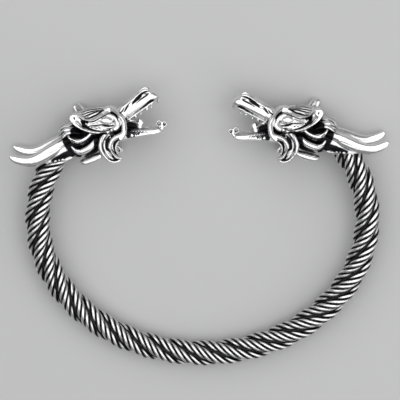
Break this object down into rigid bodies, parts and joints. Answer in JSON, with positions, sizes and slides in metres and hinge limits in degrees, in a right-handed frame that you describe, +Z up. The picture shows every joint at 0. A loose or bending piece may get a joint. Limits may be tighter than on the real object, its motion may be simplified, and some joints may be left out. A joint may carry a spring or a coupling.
{
  "type": "arm ring",
  "caption": "Open arm ring of twisted wire strands whose ends are set in cast dragon heads with open jaws, worn around a wrist.",
  "frame": {"origin": "on the surface the ring lies on, under the centre of its box", "axes": "+X across the opening, from the left head to the right head; +Y from the back of the band towards the opening; +Z up, through the wrist opening"},
  "size_m": [0.081, 0.0622, 0.0121],
  "materials": {
    "bright_wire": "satin wire, darkened between the strands",
    "polished_casting": "polished casting, darkened in its recesses"
  },
  "bodies": {
    "root": {"strand_1": "bright_wire", "strand_2": "bright_wire", "strand_3": "bright_wire", "strand_4": "bright_wire", "head_left": "polished_casting", "head_right": "polished_casting"}
  },
  "joints": []
}
